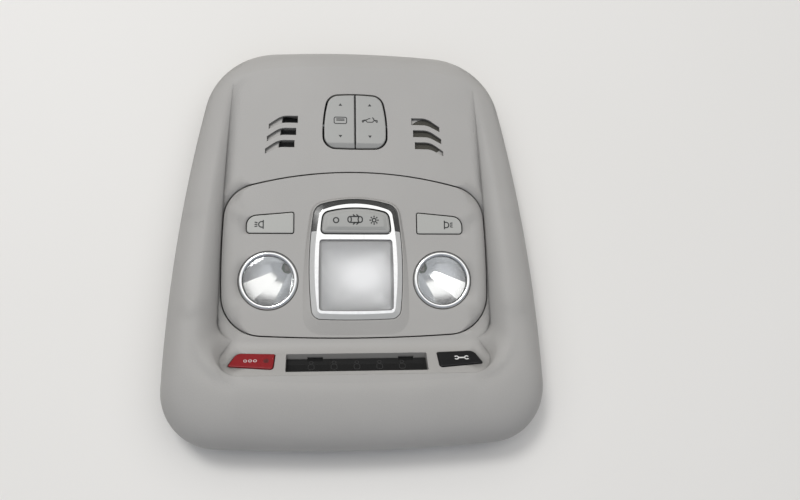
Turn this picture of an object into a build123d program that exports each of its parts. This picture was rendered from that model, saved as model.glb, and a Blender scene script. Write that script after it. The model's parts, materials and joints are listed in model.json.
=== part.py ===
from build123d import *
from math import cos, radians, sin, tan
import os

os.makedirs("parts", exist_ok=True)

# Overhead console with dome light, lying on its back with the face up.
# X is to the right of the face, Y points to the rear of the car and Z out of the face. Millimetres.

# Console shell
wall = 2.5
rim_z = 16.0
rim_front_y = -131.3
rim_rear_y = 131.3
rim_front_half = 119.0
rim_rear_half = 89.8
rim_front_sag = 6.1
rim_rear_sag = 5.5
rim_bulge = 8.2
rim_front_r = 35.0
rim_rear_r = 48.0
crest_z = 38.5
crest_y = -85.4
crest_tilt = 3.9
crest_front_r = 24.0
crest_rear_r = 30.0
roll_front = 40.0
roll_side = 21.0
roll_rear = 22.0
roll_power = 2.1
roll_steps = (0, 0.28, 0.52, 0.76, 0.93, 1)

# Valley that carries the lamp panel
floor_z = 24.0
valley_front_y = -64.0
valley_rear_y = 123.0
valley_front_half = 85.6
valley_rear_half = 78.2
valley_front_sag = 1.0
valley_rear_sag = 0.5
valley_bulge = 1.9
valley_corner_r = 12.0
valley_crest_r = 24.0
valley_rear_r = 4.0
valley_front_run = 21.0
valley_side_run = 11.5
valley_tail_run = 5.0
valley_soft = 2.2
valley_steps = (0, 0.1, 0.35, 0.65, 0.9, 1.05)

# Sloping shelf in front of the lamp panel
shelf_y = -68.2
shelf_tilt = 40.0
shelf_half = 83.0
shelf_end_r = 13.0
shelf_mid = 9.5
shelf_flare = 30.0
shelf_foot_r = 12.0
shelf_brow_r = 7.0
shelf_exit_tilt = 2.0
shelf_root = 12.0
shelf_wall = 2.8
shelf_sine = sin(radians(shelf_tilt))
shelf_cosine = cos(radians(shelf_tilt))
shelf_length = (crest_z - floor_z) / shelf_sine
shelf_plane = Plane(
    origin=(0, shelf_y, floor_z), x_dir=(1, 0, 0), z_dir=(0, shelf_sine, shelf_cosine)
)

# Lamp panel
panel_gap = 0.8
panel_front_y = -62.3
panel_rear_y = 44.5
panel_front_half = 82.0
panel_rear_half = 82.2
panel_front_sag = 3.3
panel_rear_sag = 14.1
panel_bulge = 1.9
panel_front_r = 25.4
panel_rear_r = 22.7
panel_skirt = 1.8
panel_skirt_z = 15.0
plinth_height = 1.6
plinth_front = 9.5
plinth_flank = 5.5
plinth_rear = 1.8
plinth_rest = 1.0
groove_out = 0.5
groove_in = 0.3
groove_depth = 1.0
plinth_z = floor_z + plinth_height
under_z = floor_z - wall

# Centre lamp and mode switch
frame_front_y = -51.3
frame_rear_y = 26.1
frame_front_half = 27.2
frame_rear_half = 26.0
frame_front_sag = 0.8
frame_rear_sag = 4.9
frame_bulge = 2.7
frame_front_r = 6.0
frame_rear_r = 8.0
frame_height = 1.8
frame_slope = 60.0
frame_sleeve = 1.4
frame_sleeve_z = 20.0
frame_fit = 0.25
frame_z = plinth_z + frame_height
frame_run = frame_height * tan(radians(frame_slope))
rim_split_y = 4.9
lens_front_y = -46.2
lens_rear_y = -0.4
lens_front_half = 23.3
lens_rear_half = 23.1
lens_front_sag = 0.5
lens_bulge = 0.5
flat_sag = 0.1
lens_r = 2.0
lens_lip = 0.6
lens_fit = 0.1
lens_thick = 2.0
lens_z = frame_z - 1.2
bowl_depth = 7.0
bowl_round = 0.95
bowl_steps = (0, 0.12, 0.35, 0.66, 1)
dimple_r = 4.4
dimple_depth = 0.7
mode_front_y = 2.7
mode_rear_y = 20.6
mode_front_half = 22.7
mode_rear_half = 21.1
mode_rear_sag = 3.2
mode_bulge = 0.4
mode_front_r = 3.2
mode_rear_r = 5.5
mode_gap = 0.7
mode_proud = 0.8
mode_edge_r = 1.6
mode_skirt_z = 22.4
mode_pivot_z = 17.5
mode_stem_half = 4.0
mode_stem_low_z = 14.2
mode_stem_front_y = 6.0
mode_stem_rear_y = 18.0
pin_r = 1.5
pin_fit = 0.3
cradle_half = 9.0
cradle_cheek = 2.4
cradle_gap = 0.6
cradle_base = 2.0
cradle_eye_r = 2.3

# Reading lamps and their buttons
lamp_x = 55.1
lamp_y = -26.2
ring_r = 18.5
ring_seat = 0.8
ring_sleeve_r = 17.2
ring_bore_r = 16.1
ring_lip_r = 15.5
ring_crown = 1.3
ring_low_z = 20.8
ring_fit = 0.2
lamp_lens_r = 15.95
lamp_lens_edge = 1.6
lamp_lens_dome = 1.1
lamp_lens_z = floor_z - 0.1
lamp_cup_low_z = 11.2
lamp_cup_foot_r = 3.4
lamp_cup_dx = 10.6
lamp_cup_dy = 9.6
lamp_facets = 8
lamp_facet_turn = 7.0
cup_wall = 1.2
read_inner_x = 39.1
read_outer_x = 69.6
read_front_y = 3.6
read_inner_rear_y = 18.4
read_outer_rear_y = 15.6
read_inner_r = 1.6
read_front_r = 2.6
read_rear_r = 7.0
read_gap = 0.6
read_proud = 0.2
read_edge_r = 0.5
read_flange = 1.2
read_flange_low_z = 19.4
read_flange_top_z = 20.9
read_stem_half = 3.0
read_stem_low_z = 13.6

# Circuit board and rear housing
board_z = 8.0
board_thick = 1.6
board_top_z = board_z + board_thick
board_half = 62.0
board_front_y = -50.0
board_rear_y = 28.0
board_r = 4.0
housing_fit = 0.3
housing_wall = 2.0
housing_floor = 2.0
post_r = 3.5
post_x = 56.0
post_front_y = -44.0
post_rear_y = 23.0
boss_r = 4.0
boss_front_x = 70.0
boss_front_y = -46.0
boss_rear_x = 73.0
boss_rear_y = 18.0
boss_low_z = 5.0
screw_r = 1.4
screw_fit = 0.05
screw_head_r = 3.0
screw_head = 1.8
screw_seat_z = 3.0
screw_bite = 9.0
board_screw_bite = 5.0
ear_x = 100.0
ear_front_y = -44.0
ear_rear_y = 18.0
ear_r = 7.0
ear_low_z = 8.0
ear_top_z = 11.0
flange_x = 94.0
flange_r = 8.0
flange_front_y = -28.0
flange_rear_y = 0.0
flange_thick = 3.0
roof_bolt_r = 2.7
led_size = 3.6
led_height = 1.3
tact_size = 6.0
tact_height = 1.4
tact_plunger_r = 1.6
tact_plunger = 0.8
plug_half = 13.0
plug_front_y = 14.0
plug_rear_y = 47.0
plug_low_z = 2.2
plug_wall = 1.3
plug_depth = 12.0
plug_fit = 0.3
plug_pin = 0.7
plug_pin_length = 8.4
plug_pin_pitch = 3.0
plug_pin_count = 7

# Roof switches
rocker_front_y = 60.4
rocker_rear_y = 99.3
rocker_front_half = 20.8
rocker_rear_half = 17.9
rocker_front_sag = 0.5
rocker_rear_sag = 1.1
rocker_bulge = 1.9
rocker_r = 8.8
rocker_gap = 1.2
rocker_split = 0.8
rocker_proud = 1.1
rocker_thick = 4.0
rocker_edge_r = 0.7
rocker_slope_run = 3.0
rocker_slope_drop = 1.5
rocker_pivot_y = 79.7
rocker_pivot_z = 15.0
rocker_lug_half_y = 4.0
rocker_lug_inner_x = 5.0
rocker_lug_outer_x = 14.0
rocker_lug_low_z = 11.6
tray_low_z = 7.0
tray_wall = 1.8
tray_gap = 0.8
tray_rib = 1.6
tray_ear_x = 30.0
tray_ear_r = 5.0
tray_ear_top_z = 12.0

# Microphone grilles
slot_height = 4.8
slot_pitch = 8.4
slot_inner_x = 37.5
slot_bend_x = 47.9
slot_outer_x = 56.3
slot_drop = 5.3
slot_taper = 0.75
slot_bend_r = 12.0
slot_shift = 1.05
slot_top_y = 80.7
slot_count = 3
slot_depth = 2.2
grille_pad = 1.5
grille_pad_x = 47.5
grille_pad_y = 71.5
grille_pad_width = 25.0
grille_pad_length = 29.0
mic_x = 47.3
mic_y = 70.5
mic_hole_r = 12.6
mic_tube_wall = 1.6
mic_tube_z = 12.0
mic_fit = 0.15
mic_window_width = 10.4
mic_window_length = 25.0
mic_window_x = 43.6
mic_window_y = 71.8
mic_window_turn = 7.0
foam_thick = 2.0
mic_case = 5.0
mic_capsule_r = 4.8
mic_capsule = 3.0

# Shelf buttons and display
key_gap = 0.5
key_proud = 0.7
key_edge_r = 0.5
key_flange = 1.0
key_flange_out = 3.2
key_flange_in = 4.4
key_stem_half = 2.5
key_stem_in = 9.0
key_inner_x = 49.5
key_inner_low_x = 50.2
key_tip_x = 78.2
key_shoulder_x = 73.2
key_rear = 5.1
key_shoulder_rear = 4.2
key_front = 18.0
key_tip_front = 15.2
key_small_r = 1.3
key_front_r = 2.2
key_shoulder_r = 5.0
status_x = 54.9
status_mid = 11.2
status_r = 1.7
status_depth = 1.2
display_half = 43.2
display_rear = 5.2
display_front = 19.6
display_r = 0.8
display_depth = 5.0
display_collar = 1.5
notch_left_x = 25.6
notch_right_x = 30.6
notch_width = 9.5
notch_reach = 1.0
notch_height = 2.0
collar_half = display_half + display_collar
collar_rear = display_rear - display_collar
collar_front = display_front + display_collar
display_lap = 1.4
window_thick = 2.0
light_box_depth = 6.0
light_box_wall = 1.4
light_box_cells = 6
shelf_board_thick = 1.6
shelf_board_half = 87.0
shelf_board_rear = 2.0
shelf_board_front = 20.0
shelf_post_x = 82.8
shelf_post_r = 2.6
shelf_board_in = display_depth + window_thick + light_box_depth

# Spring clips on the rim
tab_width = 13.0
tab_thick = 2.2
tab_low_z = 7.0
tab_front_x = 52.0
tab_front_y = -121.0
tab_rear_x = 40.0
tab_rear_y = 119.0
clip_thick = 0.7
clip_width = 9.0
clip_leg = 8.0
clip_bulge = 1.6
clip_peak = 4.8
clip_heel = 6.4


def four_arcs(
    plane, shift, front, rear, front_half, rear_half, front_sag, rear_sag, bulge, front_r, rear_r
):
    low = front + front_sag - shift
    high = rear - rear_sag - shift
    side_x = (front_half + rear_half) / 2 + bulge
    side_y = (low + high) / 2
    with BuildSketch(plane) as outline:
        with BuildLine():
            ThreePointArc((-front_half, low), (0, front - shift), (front_half, low))
            ThreePointArc((front_half, low), (side_x, side_y), (rear_half, high))
            ThreePointArc((rear_half, high), (0, rear - shift), (-rear_half, high))
            ThreePointArc((-rear_half, high), (-side_x, side_y), (-front_half, low))
        make_face()
        fillet(outline.sketch_local.vertices().sort_by(Axis.Y)[:2], front_r)
        fillet(outline.sketch_local.vertices().sort_by(Axis.Y)[-2:], rear_r)
    return outline.sketch


def tilt_line_y(base_z):
    return crest_y + (crest_z - base_z) / tan(radians(crest_tilt))


def tilted_plane(base_z, share, drop):
    turn = radians(crest_tilt * share)
    pivot = (0, tilt_line_y(base_z), base_z)
    return Plane(origin=pivot, x_dir=(1, 0, 0), z_dir=(0, sin(turn), cos(turn))).offset(-drop)


def dome_ring(share, gap):
    roll = 1 - (1 - share**roll_power) ** (1 / roll_power)
    side = roll_side * roll + gap
    return four_arcs(
        tilted_plane(rim_z, share, gap),
        tilt_line_y(rim_z),
        rim_front_y + roll_front * roll + gap,
        rim_rear_y - roll_rear * roll - gap,
        rim_front_half - side,
        rim_rear_half - side,
        rim_front_sag,
        rim_rear_sag,
        rim_bulge,
        rim_front_r + (crest_front_r - rim_front_r) * roll - gap,
        rim_rear_r + (crest_rear_r - rim_rear_r) * roll - gap,
    )


def valley_ring(share, gap):
    rise = share**valley_soft
    return four_arcs(
        tilted_plane(floor_z, share, gap),
        tilt_line_y(floor_z),
        valley_front_y - valley_front_run * share - gap,
        valley_rear_y,
        valley_front_half + valley_side_run * rise + gap,
        valley_rear_half + valley_tail_run * rise + gap,
        valley_front_sag,
        valley_rear_sag,
        valley_bulge,
        valley_corner_r + (valley_crest_r - valley_corner_r) * share + gap,
        valley_rear_r,
    )


def shelf_cutter(gap):
    crest = (shelf_y - shelf_length * shelf_cosine, crest_z)
    tail = crest_z + shelf_root * 4 * tan(radians(crest_tilt + shelf_exit_tilt))
    top = crest_z + shelf_root * 2
    side_plane = Plane(
        origin=(0, -gap * tan(radians(shelf_tilt / 2)), -gap), x_dir=(0, 1, 0), z_dir=(1, 0, 0)
    )
    root_out = shelf_root * tan(radians(shelf_flare))
    with BuildPart() as cutter:
        with BuildSketch(side_plane) as profile:
            with BuildLine():
                Polyline(
                    (shelf_y, floor_z),
                    crest,
                    (crest[0] - shelf_root * 4, tail),
                    (crest[0] - shelf_root * 4, top),
                    (shelf_y + shelf_root * 2, top),
                    (shelf_y + shelf_root * 2, floor_z),
                    close=True,
                )
            make_face()
            fillet(profile.sketch_local.vertices().sort_by_distance((shelf_y, floor_z))[0], shelf_foot_r)
            fillet(profile.sketch_local.vertices().sort_by_distance(crest)[0], shelf_brow_r)
        extrude(amount=shelf_half * 1.3, both=True)
        with BuildSketch(shelf_plane.offset(-shelf_root - gap)):
            with Locations((0, -shelf_mid)):
                SlotOverall(2 * (shelf_half + gap - root_out), 2 * (shelf_end_r + gap - root_out))
        extrude(amount=shelf_root * 4, taper=-shelf_flare, mode=Mode.INTERSECT)
    return cutter.part


def panel_outline(plane, grow):
    return four_arcs(
        plane,
        0,
        panel_front_y - grow,
        panel_rear_y + grow,
        panel_front_half + grow,
        panel_rear_half + grow,
        panel_front_sag,
        panel_rear_sag,
        panel_bulge,
        panel_front_r + grow,
        panel_rear_r + grow,
    )


def frame_outline(plane, grow):
    return four_arcs(
        plane,
        0,
        frame_front_y - grow,
        frame_rear_y + grow,
        frame_front_half + grow,
        frame_rear_half + grow,
        frame_front_sag,
        frame_rear_sag,
        frame_bulge,
        frame_front_r + grow,
        frame_rear_r + grow,
    )


def plinth_foot(plane):
    return four_arcs(
        plane,
        0,
        frame_front_y - plinth_front,
        frame_rear_y + plinth_rear,
        frame_front_half + plinth_flank,
        frame_rear_half + plinth_rear,
        frame_front_sag,
        frame_rear_sag,
        frame_bulge,
        frame_front_r + plinth_flank,
        frame_rear_r + plinth_rear,
    )


def lens_outline(plane, grow):
    return four_arcs(
        plane,
        0,
        lens_front_y - grow,
        lens_rear_y + grow,
        lens_front_half + grow,
        lens_rear_half + grow,
        lens_front_sag,
        flat_sag,
        lens_bulge,
        lens_r + grow,
        lens_r + grow,
    )


def mode_outline(plane, grow):
    return four_arcs(
        plane,
        0,
        mode_front_y - grow,
        mode_rear_y + grow,
        mode_front_half + grow,
        mode_rear_half + grow,
        flat_sag,
        mode_rear_sag,
        mode_bulge,
        mode_front_r + grow,
        mode_rear_r + grow,
    )


def rocker_outline(plane, grow):
    return four_arcs(
        plane,
        0,
        rocker_front_y - grow,
        rocker_rear_y + grow,
        rocker_front_half + grow,
        rocker_rear_half + grow,
        rocker_front_sag,
        rocker_rear_sag,
        rocker_bulge,
        rocker_r + grow,
        rocker_r + grow,
    )


def reading_outline(plane, grow):
    inner = read_inner_x - grow
    outer = read_outer_x + grow
    front = read_front_y - grow
    inner_rear = (-inner, read_inner_rear_y + grow)
    outer_rear = (-outer, read_outer_rear_y + grow)
    with BuildSketch(plane) as outline:
        with BuildLine():
            Polyline((-inner, front), inner_rear, outer_rear, (-outer, front), close=True)
        make_face()
        fillet(outline.sketch_local.vertices().sort_by_distance(outer_rear)[0], read_rear_r + grow)
        fillet(outline.sketch_local.vertices().sort_by_distance((-outer, front))[0], read_front_r + grow)
        fillet(outline.sketch_local.vertices().sort_by_distance((-inner, front))[0], read_inner_r + grow)
        fillet(outline.sketch_local.vertices().sort_by_distance(inner_rear)[0], read_inner_r + grow)
    return outline.sketch


def key_outline(plane, grow):
    shoulder = (-key_shoulder_x, -key_shoulder_rear)
    tip = (-key_tip_x, -key_tip_front)
    inner_rear = (-key_inner_x, -key_rear)
    inner_front = (-key_inner_low_x, -key_front)
    with BuildSketch(plane) as outline:
        with BuildLine():
            Polyline(inner_rear, inner_front, tip, shoulder, close=True)
        make_face()
        fillet(outline.sketch_local.vertices().sort_by_distance(shoulder)[0], key_shoulder_r)
        fillet(outline.sketch_local.vertices().sort_by_distance(tip)[0], key_small_r)
        fillet(outline.sketch_local.vertices().sort_by_distance(inner_rear)[0], key_small_r)
        fillet(outline.sketch_local.vertices().sort_by_distance(inner_front)[0], key_front_r)
        offset(amount=grow, kind=Kind.INTERSECTION)
    return outline.sketch


def grille_slots(plane):
    half = slot_height / 2
    with BuildSketch(plane) as slots:
        for row in range(slot_count):
            middle = slot_top_y - row * slot_pitch
            inner = -slot_inner_x - row * slot_shift
            bend = -slot_bend_x - row * slot_shift
            outer = -slot_outer_x - row * slot_shift
            high = (outer, middle - slot_drop + half - slot_taper)
            low = (outer, middle - slot_drop - half + slot_taper)
            with BuildLine():
                FilletPolyline((inner, middle + half), (bend, middle + half), high, radius=slot_bend_r)
                FilletPolyline((inner, middle - half), (bend, middle - half), low, radius=slot_bend_r)
                Line((inner, middle + half), (inner, middle - half))
                Line(high, low)
            make_face()
    return slots.sketch


def shelf_box(x_half, rear, front, corner_r):
    with BuildSketch() as outline:
        with Locations((0, -(rear + front) / 2)):
            RectangleRounded(2 * x_half, front - rear, corner_r)
    return outline.sketch


def corners(x_front, y_front, x_rear, y_rear):
    return Locations((x_front, y_front), (-x_front, y_front), (x_rear, y_rear), (-x_rear, y_rear))


# Console shell: outer form, inner form and the ribs under it
with BuildPart() as valley:
    for share in valley_steps:
        add(valley_ring(share, 0))
    loft()

with BuildPart() as inner_valley:
    for share in valley_steps:
        add(valley_ring(share, wall))
    loft()

with BuildPart() as console_form:
    for share in roll_steps:
        add(dome_ring(share, 0))
    loft()
    add(valley.part, mode=Mode.SUBTRACT)
    add(shelf_cutter(0), mode=Mode.SUBTRACT)

with BuildPart() as inner_form:
    for share in roll_steps:
        add(dome_ring(share, wall))
    loft()
    add(inner_valley.part, mode=Mode.SUBTRACT)
    add(shelf_cutter(shelf_wall), mode=Mode.SUBTRACT)

with BuildPart() as rib_room:
    add(console_form.part)
    add(dome_ring(0, wall).moved(Location((0, 0, wall - rim_z))))
    extrude(amount=rim_z + 1)

with BuildPart() as bezel_ribs:
    with BuildSketch(Plane.XY.offset(ear_top_z)):
        with corners(ear_x, ear_front_y, ear_x, ear_rear_y):
            Circle(boss_r)
    extrude(amount=crest_z - ear_top_z)
    with BuildSketch(Plane.XY.offset(tab_low_z)):
        with corners(tab_front_x, tab_front_y, tab_rear_x, tab_rear_y):
            Rectangle(tab_width, tab_thick)
    extrude(amount=crest_z - tab_low_z)
    add(rib_room.part, mode=Mode.INTERSECT)

with BuildPart() as outer_bezel:
    add(console_form.part)
    add(inner_form.part, mode=Mode.SUBTRACT)
    add(bezel_ribs.part)
    # Lip round the lamp panel
    with BuildSketch(Plane.XY.offset(rim_z)):
        add(panel_outline(Plane.XY, panel_gap + wall))
    extrude(amount=floor_z - rim_z - wall / 2)
    with BuildSketch(Plane.XY.offset(rim_z)):
        add(panel_outline(Plane.XY, panel_gap))
    extrude(amount=floor_z - rim_z + wall, mode=Mode.SUBTRACT)
    # Roof switch opening and the bosses beside it
    with BuildSketch(Plane.XY.offset(under_z - wall)):
        add(rocker_outline(Plane.XY, 0))
    extrude(amount=3 * wall, mode=Mode.SUBTRACT)
    with BuildSketch(Plane.XY.offset(tray_ear_top_z)):
        with Locations((tray_ear_x, rocker_pivot_y), (-tray_ear_x, rocker_pivot_y)):
            Circle(boss_r)
    extrude(amount=under_z + wall / 2 - tray_ear_top_z)
    # Pads and microphone tubes behind the grilles
    with BuildSketch(Plane.XY.offset(under_z - grille_pad)):
        with Locations((grille_pad_x, grille_pad_y), (-grille_pad_x, grille_pad_y)):
            RectangleRounded(grille_pad_width, grille_pad_length, wall)
    extrude(amount=grille_pad + wall / 2)
    with BuildSketch(Plane.XY.offset(mic_tube_z)):
        with Locations((mic_x, mic_y)):
            Circle(mic_hole_r + mic_tube_wall)
        with Locations(Location((-mic_window_x, mic_window_y, 0), (0, 0, -mic_window_turn))):
            Rectangle(mic_window_width + 2 * mic_tube_wall, mic_window_length + 2 * mic_tube_wall)
    extrude(amount=under_z + wall / 2 - mic_tube_z)
    with BuildSketch(Plane.XY.offset(mic_tube_z)):
        with Locations((mic_x, mic_y)):
            Circle(mic_hole_r)
        with Locations(Location((-mic_window_x, mic_window_y, 0), (0, 0, -mic_window_turn))):
            Rectangle(mic_window_width, mic_window_length)
    extrude(amount=floor_z - slot_depth - mic_tube_z, mode=Mode.SUBTRACT)
    with BuildSketch(Plane.XY.offset(floor_z - slot_depth)):
        add(grille_slots(Plane.XY))
        mirror(about=Plane.YZ)
    extrude(amount=slot_depth + 1, mode=Mode.SUBTRACT)
    # Shelf: collar and opening of the display, posts and the two button openings
    with BuildSketch(shelf_plane.offset(-display_depth)):
        add(shelf_box(collar_half, collar_rear, collar_front, display_r + display_collar))
    extrude(amount=display_depth - wall / 2)
    with BuildSketch(shelf_plane.offset(-display_depth)):
        add(shelf_box(display_half, display_rear, display_front, display_r))
    extrude(amount=display_depth + 2 * wall, mode=Mode.SUBTRACT)
    with BuildSketch(shelf_plane.offset(-display_depth)):
        with Locations((notch_right_x, -display_rear), (-notch_left_x, -display_rear)):
            Rectangle(notch_width, 2 * notch_reach)
    extrude(amount=notch_height, mode=Mode.SUBTRACT)
    with BuildSketch(shelf_plane.offset(-shelf_board_in)):
        with Locations((shelf_post_x, -shelf_mid), (-shelf_post_x, -shelf_mid)):
            Circle(shelf_post_r)
    extrude(amount=shelf_board_in - wall / 2)
    with BuildSketch(shelf_plane.offset(-2 * wall)):
        add(key_outline(Plane.XY, 0))
        mirror(about=Plane.YZ)
    extrude(amount=4 * wall, mode=Mode.SUBTRACT)
    # Pilot holes for the screws
    with BuildSketch(Plane.XY.offset(ear_top_z)):
        with corners(ear_x, ear_front_y, ear_x, ear_rear_y):
            Circle(screw_r + screw_fit)
    extrude(amount=screw_bite, mode=Mode.SUBTRACT)
    with BuildSketch(Plane.XY.offset(tray_ear_top_z)):
        with Locations((tray_ear_x, rocker_pivot_y), (-tray_ear_x, rocker_pivot_y)):
            Circle(screw_r + screw_fit)
    extrude(amount=screw_bite, mode=Mode.SUBTRACT)
    with BuildSketch(shelf_plane.offset(-shelf_board_in)):
        with Locations((shelf_post_x, -shelf_mid), (-shelf_post_x, -shelf_mid)):
            Circle(screw_r + screw_fit)
    extrude(amount=screw_bite, mode=Mode.SUBTRACT)
outer_bezel.part.label = "outer_bezel"
export_step(outer_bezel.part, "parts/outer_bezel.step")

# Lamp panel with plinth, skirt, openings and screw bosses
with BuildPart() as lamp_panel:
    with BuildSketch(Plane.XY.offset(panel_skirt_z)):
        add(panel_outline(Plane.XY, 0))
    extrude(amount=floor_z - panel_skirt_z)
    with BuildSketch(Plane.XY.offset(panel_skirt_z)):
        add(panel_outline(Plane.XY, -panel_skirt))
    extrude(amount=under_z - panel_skirt_z, mode=Mode.SUBTRACT)
    add(plinth_foot(Plane.XY.offset(floor_z)))
    add(frame_outline(Plane.XY.offset(plinth_z), plinth_rest))
    loft()
    with BuildSketch(Plane.XY.offset(plinth_z - groove_depth)):
        add(frame_outline(Plane.XY, groove_out))
        add(frame_outline(Plane.XY, -groove_in), mode=Mode.SUBTRACT)
    extrude(amount=groove_depth, mode=Mode.SUBTRACT)
    with BuildSketch(Plane.XY.offset(boss_low_z)):
        with corners(boss_front_x, boss_front_y, boss_rear_x, boss_rear_y):
            Circle(boss_r)
    extrude(amount=under_z + wall / 2 - boss_low_z)
    with BuildSketch(Plane.XY.offset(under_z)):
        add(frame_outline(Plane.XY, frame_fit - frame_sleeve))
        with Locations((lamp_x, lamp_y), (-lamp_x, lamp_y)):
            Circle(ring_sleeve_r + ring_fit)
        add(reading_outline(Plane.XY, 0))
        add(mirror(reading_outline(Plane.XY, 0), about=Plane.YZ, mode=Mode.PRIVATE))
    extrude(amount=wall + plinth_height, mode=Mode.SUBTRACT)
    with BuildSketch(Plane.XY.offset(floor_z - ring_seat)):
        with Locations((lamp_x, lamp_y), (-lamp_x, lamp_y)):
            Circle(ring_r + 2 * ring_fit)
    extrude(amount=ring_seat, mode=Mode.SUBTRACT)
    with BuildSketch(Plane.XY.offset(boss_low_z)):
        with corners(boss_front_x, boss_front_y, boss_rear_x, boss_rear_y):
            Circle(screw_r + screw_fit)
    extrude(amount=screw_bite, mode=Mode.SUBTRACT)
lamp_panel.part.label = "lamp_panel"
export_step(lamp_panel.part, "parts/lamp_panel.step")

# Clear rim that runs round the front of the frame, beside the lens
with BuildPart() as lens_rim:
    add(frame_outline(Plane.XY.offset(plinth_z), 0))
    add(frame_outline(Plane.XY.offset(frame_z), -frame_run))
    loft()
    with BuildSketch(Plane.XY.offset(plinth_z)):
        add(frame_outline(Plane.XY, -frame_run))
        with Locations((0, rim_split_y + frame_rear_y)):
            Rectangle(4 * frame_front_half, 2 * frame_rear_y)
    extrude(amount=frame_height, mode=Mode.SUBTRACT)
lens_rim.part.label = "lens_rim"
export_step(lens_rim.part, "parts/lens_rim.step")

# Chrome frame round the centre lamp and the mode switch
with BuildPart() as centre_frame:
    add(frame_outline(Plane.XY.offset(plinth_z), 0))
    add(frame_outline(Plane.XY.offset(frame_z), -frame_run))
    loft()
    add(lens_rim.part, mode=Mode.SUBTRACT)
    with BuildSketch(Plane.XY.offset(frame_sleeve_z)):
        add(frame_outline(Plane.XY, -frame_sleeve))
    extrude(amount=plinth_z - frame_sleeve_z)
    with BuildSketch(Plane.XY.offset(frame_sleeve_z)):
        add(lens_outline(Plane.XY, 0))
        add(mode_outline(Plane.XY, 0))
    extrude(amount=frame_z - frame_sleeve_z, mode=Mode.SUBTRACT)
    with BuildSketch(Plane.XY.offset(frame_sleeve_z)):
        add(lens_outline(Plane.XY, lens_lip))
    extrude(amount=lens_z - frame_sleeve_z, mode=Mode.SUBTRACT)
centre_frame.part.label = "centre_frame"
export_step(centre_frame.part, "parts/centre_frame.step")

with BuildPart() as centre_lens:
    with BuildSketch(Plane.XY.offset(lens_z - lens_thick)):
        add(lens_outline(Plane.XY, lens_lip - lens_fit))
    extrude(amount=lens_thick)
    dimple_ball_r = (dimple_r**2 + dimple_depth**2) / (2 * dimple_depth)
    with Locations((0, (lens_front_y + lens_rear_y) / 2, lens_z - lens_thick + dimple_depth - dimple_ball_r)):
        Sphere(dimple_ball_r, mode=Mode.SUBTRACT)
centre_lens.part.label = "centre_lens"
export_step(centre_lens.part, "parts/centre_lens.step")

# Bowl behind the centre lens, open to the light source through its neck
lens_mid_y = (lens_front_y + lens_rear_y) / 2
bowl_top_z = lens_z - lens_thick
bowl_half_x = lens_rear_half
bowl_half_y = (lens_rear_y - lens_front_y) / 2


def bowl_ring(share, gap):
    reach = share**0.5
    half_x = led_size + (bowl_half_x - gap - led_size) * reach
    half_y = led_size + (bowl_half_y - gap - led_size) * reach
    height = bowl_top_z - bowl_depth * (1 - share)
    corner_r = bowl_round * min(half_x, half_y) * (1 - share) + lens_r * share
    with BuildSketch(Plane.XY.offset(height)) as ring:
        with Locations((0, lens_mid_y)):
            RectangleRounded(2 * half_x, 2 * half_y, corner_r)
    return ring.sketch


with BuildPart() as bowl_form:
    for share in bowl_steps:
        add(bowl_ring(share, cup_wall))
    loft()

with BuildPart() as centre_reflector:
    for share in bowl_steps:
        add(bowl_ring(share, 0).moved(Location((0, 0, -cup_wall * (1 - share)))))
    loft()
    with BuildSketch(Plane.XY.offset(bowl_top_z - cup_wall)):
        add(lens_outline(Plane.XY, lens_lip - lens_fit))
    extrude(amount=cup_wall)
    with BuildSketch(Plane.XY.offset(lamp_cup_low_z)):
        with Locations((0, lens_mid_y)):
            Rectangle(2 * (led_size + cup_wall), 2 * (led_size + cup_wall))
    extrude(amount=bowl_top_z - bowl_depth - lamp_cup_low_z)
    add(bowl_form.part, mode=Mode.SUBTRACT)
    with BuildSketch(Plane.XY.offset(lamp_cup_low_z)):
        with Locations((0, lens_mid_y)):
            Circle(led_size)
    extrude(amount=bowl_top_z - lamp_cup_low_z, mode=Mode.SUBTRACT)
centre_reflector.part.label = "centre_reflector"
export_step(centre_reflector.part, "parts/centre_reflector.step")

with BuildPart() as centre_led:
    with BuildSketch(Plane.XY.offset(board_top_z)):
        with Locations((0, lens_mid_y)):
            Rectangle(led_size, led_size)
    extrude(amount=led_height)
centre_led.part.label = "centre_led"
export_step(centre_led.part, "parts/centre_led.step")

# Three-way mode switch on its own pin and cradle
mode_mid_y = (mode_stem_front_y + mode_stem_rear_y) / 2
mode_axis_plane = Plane(origin=(0, mode_mid_y, mode_pivot_z), x_dir=(1, 0, 0), z_dir=(0, -1, 0))
mode_pin_half = (mode_stem_rear_y - mode_stem_front_y) / 2 + cradle_gap + cradle_cheek

with BuildPart() as mode_switch:
    with BuildSketch(Plane.XY.offset(mode_skirt_z)):
        add(mode_outline(Plane.XY, -mode_gap))
    extrude(amount=frame_z + mode_proud - mode_skirt_z)
    fillet(mode_switch.faces().sort_by(Axis.Z)[-1].edges(), mode_edge_r)
    with BuildSketch(Plane.XY.offset(mode_stem_low_z)):
        with Locations((0, mode_mid_y)):
            Rectangle(2 * mode_stem_half, mode_stem_rear_y - mode_stem_front_y)
    extrude(amount=mode_skirt_z - mode_stem_low_z)
    with BuildSketch(mode_axis_plane):
        Circle(pin_r + pin_fit)
    extrude(amount=mode_stem_rear_y, both=True, mode=Mode.SUBTRACT)
mode_switch.part.label = "mode_switch"
export_step(mode_switch.part, "parts/mode_switch.step")

with BuildPart() as mode_switch_pin:
    with BuildSketch(mode_axis_plane):
        Circle(pin_r)
    extrude(amount=mode_pin_half, both=True)
mode_switch_pin.part.label = "mode_switch_pin"
export_step(mode_switch_pin.part, "parts/mode_switch_pin.step")

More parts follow.
